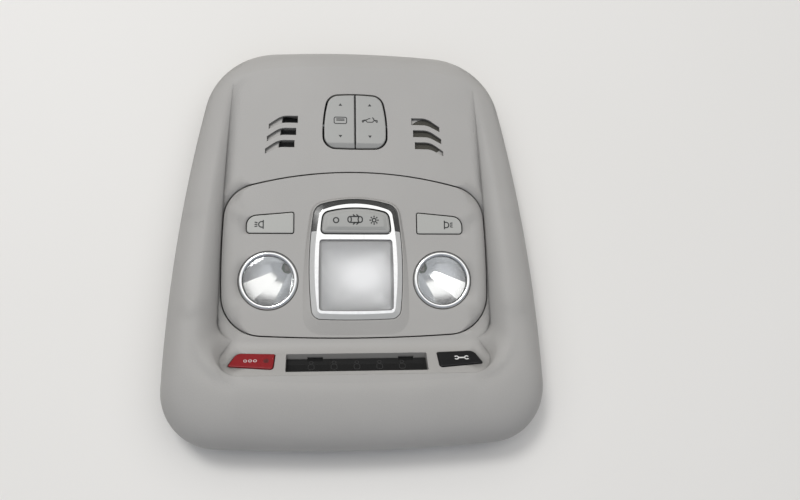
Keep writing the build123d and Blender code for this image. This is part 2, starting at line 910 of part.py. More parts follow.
with BuildPart() as mode_switch_cradle:
    with BuildSketch(Plane.XY.offset(board_top_z)):
        with Locations((0, mode_mid_y)):
            Rectangle(2 * cradle_half, 2 * mode_pin_half)
    extrude(amount=cradle_base)
    with BuildSketch(mode_axis_plane.offset(-mode_pin_half)):
        with Locations((0, (board_top_z - mode_pivot_z) / 2)):
            Rectangle(2 * mode_stem_half, mode_pivot_z - board_top_z)
        Circle(cradle_eye_r)
        Circle(pin_r + screw_fit, mode=Mode.SUBTRACT)
    extrude(amount=cradle_cheek)
    mirror(mode_switch_cradle.part, about=Plane.XZ.offset(-mode_mid_y))
mode_switch_cradle.part.label = "mode_switch_cradle"
export_step(mode_switch_cradle.part, "parts/mode_switch_cradle.step")

# Reading lamp buttons with retaining flange and stem
read_mid_x = (read_inner_x + read_outer_x) / 2
read_mid_y = (read_front_y + read_inner_rear_y) / 2

with BuildPart() as left_reading_button:
    with BuildSketch(Plane.XY.offset(read_flange_top_z)):
        add(reading_outline(Plane.XY, -read_gap))
    extrude(amount=floor_z + read_proud - read_flange_top_z)
    fillet(left_reading_button.faces().sort_by(Axis.Z)[-1].edges(), read_edge_r)
    with BuildSketch(Plane.XY.offset(read_flange_low_z)):
        add(reading_outline(Plane.XY, read_flange))
    extrude(amount=read_flange_top_z - read_flange_low_z)
    with BuildSketch(Plane.XY.offset(read_stem_low_z)):
        with Locations((-read_mid_x, read_mid_y)):
            Rectangle(2 * read_stem_half, 2 * read_stem_half)
    extrude(amount=read_flange_low_z - read_stem_low_z)
left_reading_button.part.label = "left_reading_button"
export_step(left_reading_button.part, "parts/left_reading_button.step")

with BuildPart() as right_reading_button:
    mirror(left_reading_button.part, about=Plane.YZ)
right_reading_button.part.label = "right_reading_button"
export_step(right_reading_button.part, "parts/right_reading_button.step")

with BuildPart() as left_reading_tact:
    with BuildSketch(Plane.XY.offset(board_top_z)):
        with Locations((-read_mid_x, read_mid_y)):
            Rectangle(tact_size, tact_size)
    extrude(amount=tact_height)
    with BuildSketch(Plane.XY.offset(board_top_z + tact_height)):
        with Locations((-read_mid_x, read_mid_y)):
            Circle(tact_plunger_r)
    extrude(amount=tact_plunger)
left_reading_tact.part.label = "left_reading_tact"
export_step(left_reading_tact.part, "parts/left_reading_tact.step")

with BuildPart() as right_reading_tact:
    mirror(left_reading_tact.part, about=Plane.YZ)
right_reading_tact.part.label = "right_reading_tact"
export_step(right_reading_tact.part, "parts/right_reading_tact.step")

# Reading lamps: bright ring, domed lens, offset cup and light source
lamp_plane = Plane(origin=(-lamp_x, lamp_y, 0), x_dir=(1, 0, 0), z_dir=(0, -1, 0))
lamp_axis = Axis((-lamp_x, lamp_y, 0), (0, 0, 1))
lamp_lens_low_z = lamp_lens_z - lamp_lens_edge
ring_seat_z = floor_z - ring_seat

with BuildPart() as left_lamp_ring:
    with BuildSketch(lamp_plane):
        with BuildLine():
            Polyline(
                (ring_lip_r, lamp_lens_z),
                (ring_bore_r, lamp_lens_z),
                (ring_bore_r, ring_low_z),
                (ring_sleeve_r, ring_low_z),
                (ring_sleeve_r, ring_seat_z),
                (ring_r, ring_seat_z),
            )
            Line((ring_r, ring_seat_z), (ring_r, floor_z))
            ThreePointArc(
                (ring_r, floor_z),
                ((ring_r + ring_lip_r) / 2 + ring_fit, floor_z + ring_crown),
                (ring_lip_r, floor_z + ring_fit),
            )
            Line((ring_lip_r, floor_z + ring_fit), (ring_lip_r, lamp_lens_z))
        make_face()
    revolve(axis=lamp_axis)
left_lamp_ring.part.label = "left_lamp_ring"
export_step(left_lamp_ring.part, "parts/left_lamp_ring.step")

with BuildPart() as right_lamp_ring:
    mirror(left_lamp_ring.part, about=Plane.YZ)
right_lamp_ring.part.label = "right_lamp_ring"
export_step(right_lamp_ring.part, "parts/right_lamp_ring.step")

with BuildPart() as left_lamp_lens:
    with BuildSketch(lamp_plane):
        with BuildLine():
            Polyline(
                (0, lamp_lens_z + lamp_lens_dome),
                (0, lamp_lens_low_z),
                (lamp_lens_r, lamp_lens_low_z),
                (lamp_lens_r, lamp_lens_z),
                (ring_lip_r - ring_fit, lamp_lens_z),
            )
            RadiusArc(
                (ring_lip_r - ring_fit, lamp_lens_z),
                (0, lamp_lens_z + lamp_lens_dome),
                -((ring_lip_r - ring_fit) ** 2 + lamp_lens_dome**2) / (2 * lamp_lens_dome),
            )
        make_face()
    revolve(axis=lamp_axis)
left_lamp_lens.part.label = "left_lamp_lens"
export_step(left_lamp_lens.part, "parts/left_lamp_lens.step")

with BuildPart() as right_lamp_lens:
    mirror(left_lamp_lens.part, about=Plane.YZ)
right_lamp_lens.part.label = "right_lamp_lens"
export_step(right_lamp_lens.part, "parts/right_lamp_lens.step")


def facet_ring(height, radius, share):
    with BuildSketch(Plane.XY.offset(height)) as ring:
        with Locations((-lamp_x + lamp_cup_dx * share, lamp_y + lamp_cup_dy * share)):
            RegularPolygon(radius, lamp_facets, major_radius=False, rotation=lamp_facet_turn)
    return ring.sketch


with BuildPart() as lamp_cavity:
    add(facet_ring(lamp_lens_low_z, ring_lip_r, 0))
    add(facet_ring(lamp_cup_low_z, lamp_cup_foot_r, 1))
    loft(ruled=True)
    with BuildSketch(Plane.XY.offset(lamp_cup_low_z)):
        with Locations((-lamp_x, lamp_y)):
            Circle(ring_lip_r - ring_fit)
    extrude(amount=lamp_lens_low_z - lamp_cup_low_z, mode=Mode.INTERSECT)

with BuildPart() as left_lamp_reflector:
    add(facet_ring(lamp_lens_low_z, ring_lip_r + cup_wall, 0))
    add(facet_ring(lamp_cup_low_z, lamp_cup_foot_r + cup_wall, 1))
    loft(ruled=True)
    with BuildSketch(Plane.XY.offset(lamp_cup_low_z)):
        with Locations((-lamp_x, lamp_y)):
            Circle(lamp_lens_r)
    extrude(amount=lamp_lens_low_z - lamp_cup_low_z, mode=Mode.INTERSECT)
    add(lamp_cavity.part, mode=Mode.SUBTRACT)
left_lamp_reflector.part.label = "left_lamp_reflector"
export_step(left_lamp_reflector.part, "parts/left_lamp_reflector.step")

with BuildPart() as right_lamp_reflector:
    mirror(left_lamp_reflector.part, about=Plane.YZ)
right_lamp_reflector.part.label = "right_lamp_reflector"
export_step(right_lamp_reflector.part, "parts/right_lamp_reflector.step")

with BuildPart() as left_lamp_led:
    with BuildSketch(Plane.XY.offset(board_top_z)):
        with Locations((-lamp_x + lamp_cup_dx, lamp_y + lamp_cup_dy)):
            Rectangle(led_size, led_size)
    extrude(amount=led_height)
left_lamp_led.part.label = "left_lamp_led"
export_step(left_lamp_led.part, "parts/left_lamp_led.step")

with BuildPart() as right_lamp_led:
    mirror(left_lamp_led.part, about=Plane.YZ)
right_lamp_led.part.label = "right_lamp_led"
export_step(right_lamp_led.part, "parts/right_lamp_led.step")

# Circuit board, rear housing and plug of the lamp unit
with BuildPart() as main_circuit_board:
    with BuildSketch(Plane.XY.offset(board_z)):
        with Locations((0, (board_front_y + board_rear_y) / 2)):
            RectangleRounded(2 * board_half, board_rear_y - board_front_y, board_r)
    extrude(amount=board_thick)
    with BuildSketch(Plane.XY.offset(board_z)):
        with corners(post_x, post_front_y, post_x, post_rear_y):
            Circle(screw_r + 2 * screw_fit)
    extrude(amount=board_thick, mode=Mode.SUBTRACT)
main_circuit_board.part.label = "main_circuit_board"
export_step(main_circuit_board.part, "parts/main_circuit_board.step")

housing_inset = panel_skirt + housing_fit

with BuildPart() as rear_housing:
    with BuildSketch():
        add(panel_outline(Plane.XY, -housing_inset))
    extrude(amount=under_z)
    # Ears that screw to the console shell
    with BuildSketch(Plane.XY.offset(ear_low_z)):
        with corners(ear_x, ear_front_y, ear_x, ear_rear_y):
            Circle(ear_r)
        with corners((ear_x + boss_front_x) / 2, ear_front_y, (ear_x + boss_front_x) / 2, ear_rear_y):
            Rectangle(ear_x - boss_front_x, 2 * ear_r)
    extrude(amount=ear_top_z - ear_low_z)
    # Flat flanges that bolt to the roof
    with BuildSketch():
        with Locations((0, (flange_front_y + flange_rear_y) / 2)):
            RectangleRounded(
                2 * (flange_x + flange_r), flange_rear_y - flange_front_y + 2 * flange_r, flange_r
            )
    extrude(amount=flange_thick)
    with BuildSketch(Plane.XY.offset(housing_floor)):
        add(panel_outline(Plane.XY, -housing_inset - housing_wall))
    extrude(amount=under_z, mode=Mode.SUBTRACT)
    # Posts under the board and columns for the panel screws
    with BuildSketch():
        with corners(post_x, post_front_y, post_x, post_rear_y):
            Circle(post_r)
    extrude(amount=board_z)
    with BuildSketch(Plane.XY.offset(board_z)):
        with corners(post_x, post_front_y, post_x, post_rear_y):
            Circle(screw_r + screw_fit)
    extrude(amount=-board_screw_bite, mode=Mode.SUBTRACT)
    with BuildSketch():
        with corners(boss_front_x, boss_front_y, boss_rear_x, boss_rear_y):
            Circle(boss_r)
    extrude(amount=boss_low_z)
    with BuildSketch():
        with corners(boss_front_x, boss_front_y, boss_rear_x, boss_rear_y):
            Circle(screw_r + 2 * screw_fit)
        with corners(flange_x, flange_front_y, flange_x, flange_rear_y):
            Circle(roof_bolt_r)
    extrude(amount=boss_low_z, mode=Mode.SUBTRACT)
    with BuildSketch():
        with corners(boss_front_x, boss_front_y, boss_rear_x, boss_rear_y):
            Circle(screw_head_r + 4 * screw_fit)
    extrude(amount=screw_seat_z, mode=Mode.SUBTRACT)
    with BuildSketch(Plane.XY.offset(ear_low_z)):
        with corners(ear_x, ear_front_y, ear_x, ear_rear_y):
            Circle(screw_r + 2 * screw_fit)
    extrude(amount=ear_top_z - ear_low_z, mode=Mode.SUBTRACT)
    with BuildSketch(Plane.XZ.offset(-panel_rear_y)):
        with Locations((0, (housing_floor + board_z + plug_fit) / 2)):
            Rectangle(2 * (plug_half + plug_fit), board_z + plug_fit - housing_floor)
    extrude(amount=4 * housing_wall, mode=Mode.SUBTRACT)
rear_housing.part.label = "rear_housing"
export_step(rear_housing.part, "parts/rear_housing.step")

plug_mid_z = (plug_low_z + board_z) / 2

with BuildPart() as main_connector:
    with BuildSketch(Plane.XZ.offset(-plug_rear_y)):
        with Locations((0, plug_mid_z)):
            Rectangle(2 * plug_half, board_z - plug_low_z)
    extrude(amount=plug_rear_y - plug_front_y)
    with BuildSketch(Plane.XZ.offset(-plug_rear_y)):
        with Locations((0, plug_mid_z)):
            Rectangle(2 * (plug_half - plug_wall), board_z - plug_low_z - 2 * plug_wall)
    extrude(amount=plug_depth, mode=Mode.SUBTRACT)
main_connector.part.label = "main_connector"
export_step(main_connector.part, "parts/main_connector.step")

with BuildPart() as connector_pins:
    with BuildSketch(Plane.XZ.offset(plug_depth - plug_rear_y)):
        with Locations((0, plug_mid_z)):
            with GridLocations(plug_pin_pitch, 1, plug_pin_count, 1):
                Rectangle(plug_pin, plug_pin)
    extrude(amount=-plug_pin_length)
connector_pins.part.label = "connector_pins"
export_step(connector_pins.part, "parts/connector_pins.step")

# Roof switches: a pair of rockers on one pin in a tray
rocker_top_z = floor_z + rocker_proud
rocker_lip_y = rocker_front_y + rocker_gap
rocker_axis_plane = Plane(origin=(0, rocker_pivot_y, rocker_pivot_z), x_dir=(0, 1, 0), z_dir=(1, 0, 0))
tray_half = (rocker_front_half + rocker_rear_half) / 2 + rocker_bulge + tray_gap + tray_wall

with BuildPart() as sunshade_rocker:
    with BuildSketch(Plane.XY.offset(rocker_top_z - rocker_thick)):
        add(rocker_outline(Plane.XY, -rocker_gap))
        with Locations((tray_half - rocker_split / 2, rocker_pivot_y)):
            Rectangle(2 * tray_half, 2 * tray_half, mode=Mode.SUBTRACT)
    extrude(amount=rocker_thick)
    # Sloping front face
    with BuildSketch(Plane.YZ):
        with BuildLine():
            Polyline(
                (rocker_lip_y + rocker_slope_run, rocker_top_z),
                (rocker_lip_y - rocker_slope_run, rocker_top_z),
                (rocker_lip_y - rocker_slope_run, rocker_top_z - 2 * rocker_slope_drop),
                close=True,
            )
        make_face()
    extrude(amount=-tray_half, mode=Mode.SUBTRACT)
    fillet(sunshade_rocker.faces().sort_by(Axis.Z)[-1].edges(), rocker_edge_r)
    with BuildSketch(Plane.XY.offset(rocker_lug_low_z)):
        with Locations((-(rocker_lug_inner_x + rocker_lug_outer_x) / 2, rocker_pivot_y)):
            Rectangle(rocker_lug_outer_x - rocker_lug_inner_x, 2 * rocker_lug_half_y)
    extrude(amount=rocker_top_z - rocker_thick - rocker_lug_low_z)
    with BuildSketch(rocker_axis_plane):
        Circle(pin_r + pin_fit)
    extrude(amount=-tray_half, mode=Mode.SUBTRACT)
sunshade_rocker.part.label = "sunshade_rocker"
export_step(sunshade_rocker.part, "parts/sunshade_rocker.step")

with BuildPart() as sunroof_rocker:
    mirror(sunshade_rocker.part, about=Plane.YZ)
sunroof_rocker.part.label = "sunroof_rocker"
export_step(sunroof_rocker.part, "parts/sunroof_rocker.step")

with BuildPart() as rocker_pin:
    with BuildSketch(rocker_axis_plane):
        Circle(pin_r)
    extrude(amount=tray_half - tray_wall / 2, both=True)
rocker_pin.part.label = "rocker_pin"
export_step(rocker_pin.part, "parts/rocker_pin.step")

with BuildPart() as rocker_tray:
    with BuildSketch(Plane.XY.offset(tray_low_z)):
        add(rocker_outline(Plane.XY, tray_gap + tray_wall))
    extrude(amount=under_z - tray_low_z)
    with BuildSketch(Plane.XY.offset(tray_ear_top_z - flange_thick)):
        with Locations((tray_ear_x, rocker_pivot_y), (-tray_ear_x, rocker_pivot_y)):
            Circle(tray_ear_r)
        with Locations((0, rocker_pivot_y)):
            Rectangle(2 * tray_ear_x, 2 * tray_ear_r)
    extrude(amount=flange_thick)
    with BuildSketch(Plane.XY.offset(tray_low_z + tray_wall)):
        add(rocker_outline(Plane.XY, tray_gap))
    extrude(amount=under_z, mode=Mode.SUBTRACT)
    with BuildSketch(Plane.XY.offset(tray_low_z)):
        with Locations((0, rocker_pivot_y)):
            Rectangle(tray_rib, rocker_rear_y - rocker_front_y + tray_gap)
    extrude(amount=rocker_pivot_z + 2 * pin_r - tray_low_z)
    with BuildSketch(rocker_axis_plane):
        Circle(pin_r + screw_fit)
    extrude(amount=tray_half - tray_wall / 2, both=True, mode=Mode.SUBTRACT)
    with BuildSketch(Plane.XY.offset(tray_ear_top_z - flange_thick)):
        with Locations((tray_ear_x, rocker_pivot_y), (-tray_ear_x, rocker_pivot_y)):
            Circle(screw_r + 2 * screw_fit)
    extrude(amount=flange_thick, mode=Mode.SUBTRACT)
rocker_tray.part.label = "rocker_tray"
export_step(rocker_tray.part, "parts/rocker_tray.step")

# Microphones pushed into the tubes from behind
with BuildPart() as right_microphone_foam:
    with BuildSketch(Plane.XY.offset(floor_z - slot_depth - foam_thick)):
        with Locations((mic_x, mic_y)):
            Circle(mic_hole_r - mic_fit)
    extrude(amount=foam_thick)
right_microphone_foam.part.label = "right_microphone_foam"
export_step(right_microphone_foam.part, "parts/right_microphone_foam.step")

with BuildPart() as right_microphone:
    with BuildSketch(Plane.XY.offset(mic_tube_z)):
        with Locations((mic_x, mic_y)):
            Circle(mic_hole_r - mic_fit)
    extrude(amount=floor_z - slot_depth - foam_thick - mic_tube_z)
    with BuildSketch(Plane.XY.offset(mic_tube_z - mic_tube_wall)):
        with Locations((mic_x, mic_y)):
            Circle(mic_hole_r + mic_tube_wall)
    extrude(amount=mic_tube_wall)
    with BuildSketch(Plane.XY.offset(mic_tube_z - mic_tube_wall - mic_capsule)):
        with Locations((mic_x, mic_y)):
            Circle(mic_capsule_r)
    extrude(amount=mic_capsule)
right_microphone.part.label = "right_microphone"
export_step(right_microphone.part, "parts/right_microphone.step")

left_mic_place = Location((-mic_window_x, mic_window_y, 0), (0, 0, -mic_window_turn))

with BuildPart() as left_microphone:
    with BuildSketch(Plane.XY.offset(mic_tube_z)):
        with Locations(left_mic_place):
            Rectangle(mic_window_width - 2 * mic_fit, mic_window_length - 2 * mic_fit)
    extrude(amount=mic_case)
    with BuildSketch(Plane.XY.offset(mic_tube_z - mic_tube_wall)):
        with Locations(left_mic_place):
            Rectangle(mic_window_width + 2 * mic_tube_wall, mic_window_length + 2 * mic_tube_wall)
    extrude(amount=mic_tube_wall)
    with BuildSketch(Plane.XY.offset(mic_tube_z - mic_tube_wall - mic_capsule)):
        with Locations(left_mic_place):
            Circle(mic_capsule_r)
    extrude(amount=mic_capsule)
left_microphone.part.label = "left_microphone"
export_step(left_microphone.part, "parts/left_microphone.step")

# Buttons on the shelf
key_mid_x = (key_inner_x + key_tip_x) / 2
key_mid = (key_rear + key_front) / 2

with BuildPart() as emergency_button:
    with BuildSketch(shelf_plane.offset(-key_flange_out)):
        add(key_outline(Plane.XY, -key_gap))
    extrude(amount=key_flange_out + key_proud)
    fillet(emergency_button.faces().sort_by(Axis((0, 0, 0), shelf_plane.z_dir))[-1].edges(), key_edge_r)
    with BuildSketch(shelf_plane.offset(-key_flange_in)):
        add(key_outline(Plane.XY, key_flange))
    extrude(amount=key_flange_in - key_flange_out)
    with BuildSketch(shelf_plane.offset(-key_stem_in)):
        with Locations((-key_mid_x, -key_mid)):
            Rectangle(2 * key_stem_half, 2 * key_stem_half)
    extrude(amount=key_stem_in - key_flange_in)
    with BuildSketch(shelf_plane.offset(key_proud - status_depth)):
        with Locations((-status_x, -status_mid)):
            Circle(status_r)
    extrude(amount=status_depth, mode=Mode.SUBTRACT)
emergency_button.part.label = "emergency_button"
export_step(emergency_button.part, "parts/emergency_button.step")

with BuildPart() as emergency_status_lens:
    with BuildSketch(shelf_plane.offset(key_proud - status_depth)):
        with Locations((-status_x, -status_mid)):
            Circle(status_r)
    extrude(amount=status_depth)
emergency_status_lens.part.label = "emergency_status_lens"
export_step(emergency_status_lens.part, "parts/emergency_status_lens.step")

with BuildPart() as assist_button:
    add(mirror(emergency_button.part, about=Plane.YZ, mode=Mode.PRIVATE))
    with BuildSketch(shelf_plane.offset(key_proud - status_depth)):
        with Locations((status_x, -status_mid)):
            Circle(status_r)
    extrude(amount=status_depth)
assist_button.part.label = "assist_button"
export_step(assist_button.part, "parts/assist_button.step")

with BuildPart() as emergency_tact:
    with BuildSketch(shelf_plane.offset(-shelf_board_in)):
        with Locations((-key_mid_x, -key_mid)):
            Rectangle(tact_size, tact_size)
    extrude(amount=tact_height)
    with BuildSketch(shelf_plane.offset(tact_height - shelf_board_in)):
        with Locations((-key_mid_x, -key_mid)):
            Circle(tact_plunger_r)
    extrude(amount=tact_plunger)
emergency_tact.part.label = "emergency_tact"
export_step(emergency_tact.part, "parts/emergency_tact.step")

with BuildPart() as assist_tact:
    mirror(emergency_tact.part, about=Plane.YZ)
assist_tact.part.label = "assist_tact"
export_step(assist_tact.part, "parts/assist_tact.step")

# Warning display: smoked window, light box and board
window_half = display_half + display_lap
window_rear = display_rear - display_lap
window_front = display_front + display_lap

with BuildPart() as display_window:
    with BuildSketch(shelf_plane.offset(-display_depth)):
        add(shelf_box(window_half, window_rear, window_front, display_r))
    extrude(amount=-window_thick)
display_window.part.label = "display_window"
export_step(display_window.part, "parts/display_window.step")

with BuildPart() as display_light_box:
    with BuildSketch(shelf_plane.offset(-display_depth - window_thick)):
        add(shelf_box(window_half, window_rear, window_front, display_r))
    extrude(amount=-light_box_depth)
    cell_pitch = (2 * window_half - light_box_wall) / light_box_cells
    with BuildSketch(shelf_plane.offset(-display_depth - window_thick)):
        with Locations((0, -(window_rear + window_front) / 2)):
            with GridLocations(cell_pitch, 1, light_box_cells, 1):
                Rectangle(cell_pitch - light_box_wall, window_front - window_rear - 2 * light_box_wall)
    extrude(amount=-light_box_depth, mode=Mode.SUBTRACT)
display_light_box.part.label = "display_light_box"
export_step(display_light_box.part, "parts/display_light_box.step")

with BuildPart() as shelf_circuit_board:
    with BuildSketch(shelf_plane.offset(-shelf_board_in)):
        add(shelf_box(shelf_board_half, shelf_board_rear, shelf_board_front, display_r))
    extrude(amount=-shelf_board_thick)
    with BuildSketch(shelf_plane.offset(-shelf_board_in)):
        with Locations((shelf_post_x, -shelf_mid), (-shelf_post_x, -shelf_mid)):
            Circle(screw_r + 2 * screw_fit)
    extrude(amount=-shelf_board_thick, mode=Mode.SUBTRACT)
shelf_circuit_board.part.label = "shelf_circuit_board"
export_step(shelf_circuit_board.part, "parts/shelf_circuit_board.step")

# Screws, one group for each place, and the spring clips of the rim
with BuildPart() as panel_screws:
    with BuildSketch(Plane.XY.offset(screw_seat_z - screw_head)):
        with corners(boss_front_x, boss_front_y, boss_rear_x, boss_rear_y):
            Circle(screw_head_r)
    extrude(amount=screw_head)
    with BuildSketch(Plane.XY.offset(screw_seat_z)):
        with corners(boss_front_x, boss_front_y, boss_rear_x, boss_rear_y):
            Circle(screw_r)
    extrude(amount=screw_bite)
panel_screws.part.label = "panel_screws"
export_step(panel_screws.part, "parts/panel_screws.step")

with BuildPart() as bezel_screws:
    with BuildSketch(Plane.XY.offset(ear_low_z - screw_head)):
        with corners(ear_x, ear_front_y, ear_x, ear_rear_y):
            Circle(screw_head_r)
    extrude(amount=screw_head)
    with BuildSketch(Plane.XY.offset(ear_low_z)):
        with corners(ear_x, ear_front_y, ear_x, ear_rear_y):
            Circle(screw_r)
    extrude(amount=screw_bite)
bezel_screws.part.label = "bezel_screws"
export_step(bezel_screws.part, "parts/bezel_screws.step")

with BuildPart() as tray_screws:
    with BuildSketch(Plane.XY.offset(tray_ear_top_z - flange_thick - screw_head)):
        with Locations((tray_ear_x, rocker_pivot_y), (-tray_ear_x, rocker_pivot_y)):
            Circle(screw_head_r)
    extrude(amount=screw_head)
    with BuildSketch(Plane.XY.offset(tray_ear_top_z - flange_thick)):
        with Locations((tray_ear_x, rocker_pivot_y), (-tray_ear_x, rocker_pivot_y)):
            Circle(screw_r)
    extrude(amount=screw_bite)
tray_screws.part.label = "tray_screws"
export_step(tray_screws.part, "parts/tray_screws.step")

with BuildPart() as shelf_screws:
    with BuildSketch(shelf_plane.offset(-shelf_board_in - shelf_board_thick)):
        with Locations((shelf_post_x, -shelf_mid), (-shelf_post_x, -shelf_mid)):
            Circle(screw_head_r)
    extrude(amount=-screw_head)
    with BuildSketch(shelf_plane.offset(-shelf_board_in - shelf_board_thick)):
        with Locations((shelf_post_x, -shelf_mid), (-shelf_post_x, -shelf_mid)):
            Circle(screw_r)
    extrude(amount=screw_bite)
shelf_screws.part.label = "shelf_screws"
export_step(shelf_screws.part, "parts/shelf_screws.step")

with BuildPart() as board_screws:
    with BuildSketch(Plane.XY.offset(board_top_z)):
        with corners(post_x, post_front_y, post_x, post_rear_y):
            Circle(screw_head_r)
    extrude(amount=screw_head)
    with BuildSketch(Plane.XY.offset(board_top_z)):
        with corners(post_x, post_front_y, post_x, post_rear_y):
            Circle(screw_r)
    extrude(amount=-board_screw_bite)
board_screws.part.label = "board_screws"
export_step(board_screws.part, "parts/board_screws.step")


def clip_profile(tab_y):
    outside = tab_thick / 2 + clip_thick
    low_z = tab_low_z - clip_thick
    high_z = tab_low_z + clip_leg
    with BuildSketch() as profile:
        with Locations((tab_y, (low_z + high_z) / 2)):
            Rectangle(2 * outside, high_z - low_z)
        with BuildLine():
            Polyline(
                (tab_y - outside, tab_low_z),
                (tab_y - outside - clip_bulge, tab_low_z + clip_peak),
                (tab_y - outside, tab_low_z + clip_heel),
                (tab_y + outside, tab_low_z + clip_heel),
                (tab_y + outside + clip_bulge, tab_low_z + clip_peak),
                (tab_y + outside, tab_low_z),
                close=True,
            )
        make_face()
        with Locations((tab_y, (tab_low_z + high_z) / 2)):
            Rectangle(tab_thick, high_z - tab_low_z, mode=Mode.SUBTRACT)
    return profile.sketch


with BuildPart() as spring_clips:
    for tab_x in (tab_front_x, -tab_front_x):
        with BuildSketch(Plane.YZ.offset(tab_x - clip_width / 2)):
            add(clip_profile(tab_front_y))
    for tab_x in (tab_rear_x, -tab_rear_x):
        with BuildSketch(Plane.YZ.offset(tab_x - clip_width / 2)):
            add(clip_profile(tab_rear_y))
    extrude(amount=clip_width)
spring_clips.part.label = "spring_clips"
export_step(spring_clips.part, "parts/spring_clips.step")
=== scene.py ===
import json
from math import cos, radians, sin

import bmesh
import bpy
from mathutils import Matrix, Vector
from mathutils.geometry import convex_hull_2d


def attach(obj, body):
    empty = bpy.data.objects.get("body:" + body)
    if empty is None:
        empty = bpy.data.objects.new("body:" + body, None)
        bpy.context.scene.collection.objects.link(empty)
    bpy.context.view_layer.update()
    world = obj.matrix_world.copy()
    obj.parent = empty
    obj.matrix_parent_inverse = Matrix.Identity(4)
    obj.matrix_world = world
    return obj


# Looks of the overhead console with dome light. Metres, in the frame of the CAD model.
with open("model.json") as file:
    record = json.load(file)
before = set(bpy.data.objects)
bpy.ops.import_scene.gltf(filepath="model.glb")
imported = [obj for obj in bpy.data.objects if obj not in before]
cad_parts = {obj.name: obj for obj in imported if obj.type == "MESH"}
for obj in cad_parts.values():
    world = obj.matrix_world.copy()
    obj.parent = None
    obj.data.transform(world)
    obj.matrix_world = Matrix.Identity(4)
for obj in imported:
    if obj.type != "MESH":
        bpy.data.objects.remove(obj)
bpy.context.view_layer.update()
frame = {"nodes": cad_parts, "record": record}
nodes = frame["nodes"]
scene = bpy.context.scene
MM = 0.001

# Where the shell's shading changes, in millimetres from its middle line
# and, at the rear ends of its side troughs, along Y
WIDE_ROUNDING_X = (66, 74)
TROUGH_END_X = (69, 73)
TROUGH_END_Y = (14, 32)
FLANK_X = (84, 87)

# Millimetres: reach of the painted shade in a seam, and widths of a moulding's slow tone drift and of a
# lens's flow lines
SEAM_SHADE_REACH = 1.2
TONE_DRIFT = 45
FLOW_LINE = 25

# Share of the fine speckle in a moulding's tone, and the span that most of a noise lies in
SPECKLE_SHARE = 0.45
NOISE_SPAN = {"From Min": 0.3, "From Max": 0.7}
# How far roughness strays with that noise: as a step on plastic, as a share on metal
PLASTIC_STRAY = 0.05
METAL_STRAY = 0.2
MILKY_HIGHLIGHT_TRANSMISSION = 0.25


# Colours and shader nodes

def linear(srgb_hex):
    parts = [int(srgb_hex[i:i + 2], 16) / 255 for i in (1, 3, 5)]
    return (*[p / 12.92 if p <= 0.04045 else ((p + 0.055) / 1.055) ** 2.4 for p in parts], 1.0)


def add_node(tree, kind, settings, links=None):
    node = tree.nodes.new(kind)
    for name, value in settings.items():
        if isinstance(name, int) or name in node.inputs:
            node.inputs[name].default_value = value
        else:
            setattr(node, name, value)
    for name, source in (links or {}).items():
        tree.links.new(source, node.inputs[name])
    return node


def new_material(name):
    material = bpy.data.materials.new(name)
    material.use_nodes = True
    material.node_tree.nodes.clear()
    return material, material.node_tree


def close_material(tree, shader):
    add_node(tree, "ShaderNodeOutputMaterial", {}, {"Surface": shader.outputs["BSDF"]})


def per_millimetre(millimetres):
    """Texture scale whose cells are that wide, for coordinates in metres."""
    return 1 / (millimetres * MM)


def soft_spot(tree, place, centre, reach):
    """1 at that point, down to 0 at that reach from it along each axis, all in millimetres."""
    local = add_node(tree, "ShaderNodeMapping",
                     {"vector_type": "TEXTURE", "Location": Vector(centre) * MM, "Scale": Vector(reach) * MM},
                     {"Vector": place})
    return add_node(tree, "ShaderNodeTexGradient", {"gradient_type": "SPHERICAL"},
                    {"Vector": local.outputs["Vector"]}).outputs["Fac"]


def seam_shade_and_rounding(tree, place, tint, face_radius, trough_radius):
    """Painted shade in the seams and rounded edges of a moulding: its tint and its normal."""
    axes = add_node(tree, "ShaderNodeSeparateXYZ", {}, {"Vector": place})
    outward = add_node(tree, "ShaderNodeMath", {"operation": "ABSOLUTE"}, {0: axes.outputs["X"]}).outputs[0]
    zones = ((TROUGH_END_X, outward), (TROUGH_END_Y, axes.outputs["Y"]), (FLANK_X, outward))
    aside, behind, flank = [
        add_node(tree, "ShaderNodeMapRange", {"From Min": start * MM, "From Max": end * MM},
                 {"Value": value}).outputs[0]
        for (start, end), value in zones]
    trough_end = add_node(tree, "ShaderNodeMath", {"operation": "MULTIPLY"}, {0: aside, 1: behind})
    trough = add_node(tree, "ShaderNodeMath", {"operation": "MAXIMUM"}, {0: trough_end.outputs[0], 1: flank})
    # Painted shade darkens the seams, where little light reaches, but not the soft side troughs
    seam_shade = add_node(tree, "ShaderNodeAmbientOcclusion", {"samples": 4, "Distance": SEAM_SHADE_REACH * MM},
                    {"Color": tint})
    seam_shaded = add_node(tree, "ShaderNodeMix", {"data_type": "RGBA"},
                      {0: trough.outputs[0], 6: seam_shade.outputs["Color"], 7: tint})
    # The tool's rounded edges: slight on the face, wide along the shell's side troughs
    start, end = WIDE_ROUNDING_X
    radius = add_node(tree, "ShaderNodeMapRange",
                      {"From Min": start * MM, "From Max": end * MM,
                       "To Min": face_radius * MM, "To Max": trough_radius * MM}, {"Value": outward})
    rounding = add_node(tree, "ShaderNodeBevel", {"samples": 8}, {"Radius": radius.outputs[0]})
    return seam_shaded.outputs[2], rounding.outputs["Normal"]


